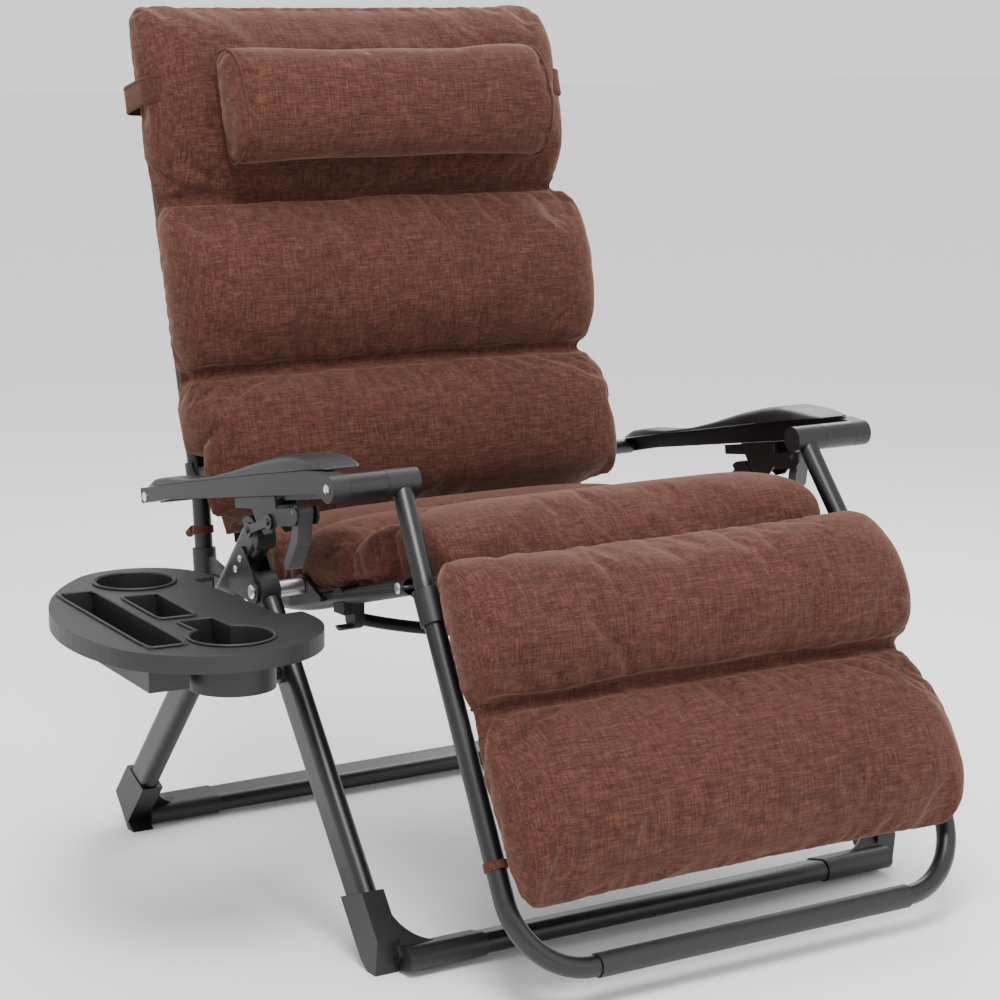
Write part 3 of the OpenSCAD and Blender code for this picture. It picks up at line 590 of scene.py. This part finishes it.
def clear_of_pivots(piece):
    """The pad's lower rear corners go round the armrests' rear pivots."""
    co = coordinates(piece)
    xtd = BACK.flat(co)
    above = (xtd[:, 1] - PIVOT_T) / PIVOT_EASE
    before = (xtd[:, 2] - PIVOT_D) / PIVOT_EASE
    free = np.clip(np.maximum(above, before), 0, 1)
    free = free * free * (3 - 2 * free)
    limit = PIVOT_X + PIVOT_SWELL * free
    xtd[:, 0] = np.sign(xtd[:, 0]) * np.minimum(np.abs(xtd[:, 0]), limit)
    set_coordinates(piece, BACK.unflat(xtd))


points, faces = loft(cushion_rings(BACK, BACK_ROLLS, back_width, BACK_BASE, 0.42, 150, 150, 30))
back_pad = add_object("back_pad", points, faces, BROWN)
clear_of_pivots(back_pad)
inflate(back_pad, BACK, BACK_SEAMS, BACK_BASE, 9, grow=0.03)
sew(back_pad, BACK, BACK_SEAMS, BACK_BASE, 11, 7, 2.6, 11)
clear_of_pivots(back_pad)
finish_pad(back_pad)
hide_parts("back_cushion")
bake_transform(back_pad)

# Leg cushion: two rolls in front of the footrest
LEG_BASE = 17.7
LEG_SEAMS = [172]
LEG_ROLLS = [
    (-16, 172, 46, 40, 98, 1.15),
    (172, 410, 40, 34, 92, 1.25),
]
leg_width = taper([(-16, 320), (60, 330), (140, 332), (172, 322), (240, 331), (350, 333), (408, 326)])
points, faces = loft(cushion_rings(LEG, LEG_ROLLS, leg_width, LEG_BASE, 0.42, 110, 150, 26))
leg_pad = add_object("leg_pad", points, faces, BROWN)
inflate(leg_pad, LEG, LEG_SEAMS, LEG_BASE, 9, grow=0.03)
sew(leg_pad, LEG, LEG_SEAMS, LEG_BASE, 10, 7, 2.6, 23)
finish_pad(leg_pad)
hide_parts("leg_cushion")
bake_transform(leg_pad)

# Seat cushion: three rolls on the sling, the front one by the knees
SEAT_BASE = 3.0
SEAT_SEAMS = [-30, 150]
SEAT_ROLLS = [
    (-205, -30, 40, 52, 92, 1.0),
    (-30, 150, 52, 52, 98, 1.0),
    (150, 338, 52, 22, 90, 0.95),
]
seat_width = taper([(-205, 304), (-30, 322), (60, 326), (150, 326), (205, 324), (222, 294), (338, 291)])
points, faces = loft(cushion_rings(SEAT, SEAT_ROLLS, seat_width, SEAT_BASE, 0.45, 130, 150, 26))
seat_pad = add_object("seat_pad", points, faces, BROWN)
co = coordinates(seat_pad)
xtd = SEAT.flat(co)
# The rear half of the sling runs nearly level, and the rails stand above it at the sides
rise = 44 * np.clip(-xtd[:, 1] / 205, 0, 1) ** 1.1
xtd[:, 2] += rise
over_rail = np.clip((np.abs(xtd[:, 0]) - 286) / 16, 0, 1) * np.clip((215 - xtd[:, 1]) / 10, 0, 1)
rail_top = 14 + 3 * over_rail + rise
xtd[:, 2] = np.maximum(xtd[:, 2], rail_top * over_rail + xtd[:, 2] * (1 - over_rail))
set_coordinates(seat_pad, SEAT.unflat(xtd))
inflate(seat_pad, SEAT, SEAT_SEAMS, SEAT_BASE, 7, grow=0.03)
sew(seat_pad, SEAT, SEAT_SEAMS, SEAT_BASE, 8, 7, 2.4, 37)
finish_pad(seat_pad)
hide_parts("seat_cushion")
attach(seat_pad, "seat")

# ---- head pillow and its band ----

PILLOW_T = 522
PILLOW_HALF = 249
PILLOW_BACK = 106.3
PILLOW_TALL = 160
PILLOW_CROWN = 54
PILLOW_HEEL = 22


def pillow_section(scale):
    """A half round, flat towards the backrest, as (t, d) about the pillow's middle."""
    curve = []
    for a in np.linspace(0, 2 * math.pi, 72, endpoint=False):
        c, s = math.cos(a), math.sin(a)
        t = PILLOW_TALL / 2 * squared(c, 2.3)
        lift = squared(s, 2.0) * PILLOW_CROWN if s > 0 else squared(s, 4.0) * PILLOW_HEEL
        curve.append((PILLOW_T + t * scale, PILLOW_BACK + 23 + lift * scale))
    return curve


# Its ends round off over a few rings, each (past the end, share of the full section)
PILLOW_END = [(-1, 0.96), (2, 0.86), (5, 0.62), (6, 0.3)]
rings = []
for x, scale in (
    [(-PILLOW_HALF - past, scale) for past, scale in PILLOW_END[::-1]]
    + [(v, 1.0) for v in np.linspace(-PILLOW_HALF + 5, PILLOW_HALF - 5, 60)]
    + [(PILLOW_HALF + past, scale) for past, scale in PILLOW_END]
):
    rings.append([BACK.point(x, t, d) for t, d in pillow_section(scale)])
points, faces = loft(rings)
pillow = add_object("pillow", points, faces, BROWN)
inflate(pillow, BACK, [], PILLOW_BACK, 5, pressure=3.0, grow=0.02, voxel=0.0045)
co = coordinates(pillow)
xtd = BACK.flat(co)
edge = np.abs(np.abs(xtd[:, 0]) - (PILLOW_HALF - 4))
front = np.clip((xtd[:, 2] - PILLOW_BACK - 8) / 10, 0, 1)
crease = -1.8 * np.exp(-((edge / 4) ** 2))
gather = value_noise(xtd / (60, 16, 16), 51)
wide = value_noise(xtd / (90, 60, 60), 52)
shift = crease + 1.3 * gather * np.exp(-((edge / 38) ** 2)) + 1.5 * wide
set_coordinates(pillow, co + normals(pillow) * (shift * front / 1000)[:, None])
finish_pad(pillow)
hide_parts("head_pillow")
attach(pillow, "pillow")

# Piped seam round each end of the pillow
for side in (-1, 1):
    path = [BACK.point(side * (PILLOW_HALF - 1.5), t, d) for t, d in pillow_section(0.995)]
    piping = tube_along(f"pillow_piping_{'right' if side < 0 else 'left'}", path, 1.5, SEAM, closed=True)
    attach(piping, "pillow")

# Band round the backrest
STRAP_T = 560
STRAP_HALF_WIDE = 19
# The outline's middle, and how far it reaches behind that
STRAP_D = 45
STRAP_BEHIND = 14.5


def strap_outline(t, spread):
    """Closed line round the back pad and its tubes at t, as (x, d)."""
    crest = roll_height(t, BACK_ROLLS) + 4
    wide = back_width(t) + 7.5
    line = []
    for a in np.linspace(0, 2 * math.pi, 160, endpoint=False):
        c, s = math.cos(a), math.sin(a)
        x = (wide + spread) * squared(c, 6.0)
        if s > 0:
            lift = squared(s, 4.0) * (crest + spread - STRAP_D)
        else:
            lift = squared(s, 9.0) * (STRAP_D + STRAP_BEHIND + spread)
        line.append((x, STRAP_D + lift))
    return line


rings = []
for spread, t in ((0, -1), (1.4, -1), (1.8, -0.9), (1.8, 0.9), (1.4, 1), (0, 1)):
    rings.append([BACK.point(x, STRAP_T + t * STRAP_HALF_WIDE, d) for x, d in strap_outline(STRAP_T, spread)])
rings.append(rings[0])
points, faces = loft(rings, caps=False)
band = add_object("pillow_band", points, faces, BROWN_BAND)
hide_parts("pillow_strap")
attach(band, "pillow")
for t in (-15.5, 15.5):
    line = [BACK.point(x, STRAP_T + t, d) for x, d in strap_outline(STRAP_T, 2.0)]
    stitch = tube_along(f"band_stitch_{'low' if t < 0 else 'high'}", line, 0.55, SEAM, closed=True, sides=6)
    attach(stitch, "pillow")

# ---- slings ----

def sling(name, plane, stops, half, body, node):
    """A taut woven sheet through (t, d) points, with a hem along each side."""
    fine = np.linspace(0, 1, 60)
    ts = np.interp(fine, np.linspace(0, 1, len(stops)), [s[0] for s in stops])
    ds = np.interp(ts, *zip(*sorted(stops)))
    across = np.linspace(-half, half, 41)
    rings = []
    for t, d in zip(ts, ds):
        rings.append([plane.point(x, t, d) for x in across])
    points, faces = loft(rings, closed=False, caps=False)
    piece = add_object(name, points, faces, SLING)
    thick = piece.modifiers.new("thickness", "SOLIDIFY")
    thick.thickness = 0.0015
    thick.offset = 0
    apply_modifiers(piece)
    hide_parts(node)
    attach(piece, body)
    for side in (-1, 1):
        ring = []
        for t, d in zip(ts, ds):
            edge = side * half
            inner = side * (half - 24)
            ring.append([
                plane.point(edge, t, d - 1.5), plane.point(inner, t, d - 1.5),
                plane.point(inner, t, d + 0.95), plane.point(edge, t, d + 0.95),
            ])
        points, faces = loft(ring)
        hem = add_object(f"{name}_hem_{'right' if side < 0 else 'left'}", points, faces, SLING, smooth=False)
        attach(hem, body)


sling("back_sheet", BACK, [(-70, 1.8), (570, 1.8)], 262, "back", "back_sling")
sling("leg_sheet", LEG, [(20, 4.8), (400, 4.8)], 282, "foot", "leg_sling")
LEVEL = Plane((0, 0), (-1, 0), (0, 1))
sling(
    "seat_sheet", LEVEL, [(-215, 371.4), (20, 387.0), (262, 452.9)], 278, "seat", "seat_sling"
)

# ---- armrest pads ----

ARM_REAR = np.array([250.0, 498.0])
ARM_FRONT = np.array([-263.0, 585.0])
ARM_DIR = (ARM_FRONT - ARM_REAR) / np.linalg.norm(ARM_FRONT - ARM_REAR)
ARM = Plane(ARM_REAR, ARM_DIR, (ARM_DIR[1], -ARM_DIR[0]))


def arm_pad(side):
    s_places = [-4, 25, 60, 130, 200, 262, 330, 385, 425, 462, 490, 505]
    tops = [14, 24, 26, 22, 24, 30, 39, 44, 44.5, 38, 29.5, 24.5]
    bottoms = [12.6, 13.4, 14.4, 16.7, 18.6, 20.3, 22.4, 23.2, 23.8, 24.4, 23.9, 23.2]
    inner = [383, 376, 371.5, 366.5, 361, 352, 343.5, 340.5, 340, 342, 350, 361]
    outer = [407, 412.5, 414, 414.3, 414.4, 414.4, 414.4, 414.4, 414.2, 412.5, 409, 403]
    rings = []
    for s in np.concatenate([np.linspace(-4, 20, 8), np.linspace(26, 470, 56), np.linspace(474, 505, 10)]):
        top, low = np.interp(s, s_places, tops), np.interp(s, s_places, bottoms)
        a, b = np.interp(s, s_places, inner), np.interp(s, s_places, outer)
        middle, half = (a + b) / 2, (b - a) / 2
        ring = []
        for angle in np.linspace(0, 2 * math.pi, 48, endpoint=False):
            c, v = math.cos(angle), math.sin(angle)
            x = middle + half * squared(c, 4.5)
            dish = 2.2 * math.exp(-(((s - 150) / 110) ** 2)) * (1 - c * c)
            d = low + (top - low - dish) * (abs(v) ** (2 / 3.5) if v > 0 else 0.0)
            ring.append(ARM.point(side * x, s, d))
        rings.append(ring)
    points, faces = loft(rings)
    word = "right" if side < 0 else "left"
    piece = add_object(f"arm_top_{word}", points, faces, PAD)
    subdivide(piece)
    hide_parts(f"arm_pad_{word}")
    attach(piece, "arms")


arm_pad(-1)
arm_pad(1)

# ---- tray rims ----

def capsule(cx, cy, angle, width, length, grow, count=64):
    """A rounded rectangle in plan, as points round it."""
    half_w, half_l = width / 2 + grow, length / 2 + grow
    turn = math.radians(angle)
    line = []
    for a in np.linspace(0, 2 * math.pi, count, endpoint=False):
        c, s = math.cos(a), math.sin(a)
        x = half_w * squared(c, 9)
        y = half_l * squared(s, 9)
        across = x * math.cos(turn) - y * math.sin(turn)
        along = x * math.sin(turn) + y * math.cos(turn)
        line.append((cx + across, cy + along))
    return line


def cup_arc(centre, radius, start, end, count, endpoint=True):
    angles = np.linspace(start, end, count, endpoint=endpoint)
    return [(centre[0] + radius * math.cos(a), centre[1] + radius * math.sin(a)) for a in angles]


TRAY_TOP = 425
REAR_CUP = (-519, 63)
FRONT_CUP = (-553, -279)
# The phone notch's far end beyond the front cup, as (from the cup's middle line, y)
NOTCH = [(23.5, -186), (18.5, -181), (-18.5, -181), (-23.5, -186)]
rims = {
    "long_slot": capsule(-626, -125, -4.5, 44, 320, 2.6, 160),
    "short_slot": capsule(-557, -88, -5, 44, 132, 2.6, 120),
    "rear_cup": cup_arc(REAR_CUP, 52.5, 0, 2 * math.pi, 96, endpoint=False),
    "front_cup": cup_arc(FRONT_CUP, 51.5, math.radians(118), math.radians(422), 84)
    + [(FRONT_CUP[0] + aside, y) for aside, y in NOTCH],
}
for name, line in rims.items():
    rim = tube_along(f"rim_{name}", [(x, y, TRAY_TOP + 1.4) for x, y in line], 1.9, TRAY, closed=True)
    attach(rim, "tray")

# ---- floor ----

floor_mesh = bpy.data.meshes.new("floor")
floor_mesh.from_pydata([(-30, -30, 0), (30, -30, 0), (30, 30, 0), (-30, 30, 0)], [], [(0, 1, 2, 3)])
floor = bpy.data.objects.new("floor", floor_mesh)
bpy.context.scene.collection.objects.link(floor)
floor_material, floor_tree, floor_shader = new_material("pale_floor")
floor_shader.inputs["Base Color"].default_value = (0.93, 0.93, 0.93, 1)
floor_shader.inputs["Roughness"].default_value = 0.9
floor_mesh.materials.append(floor_material)
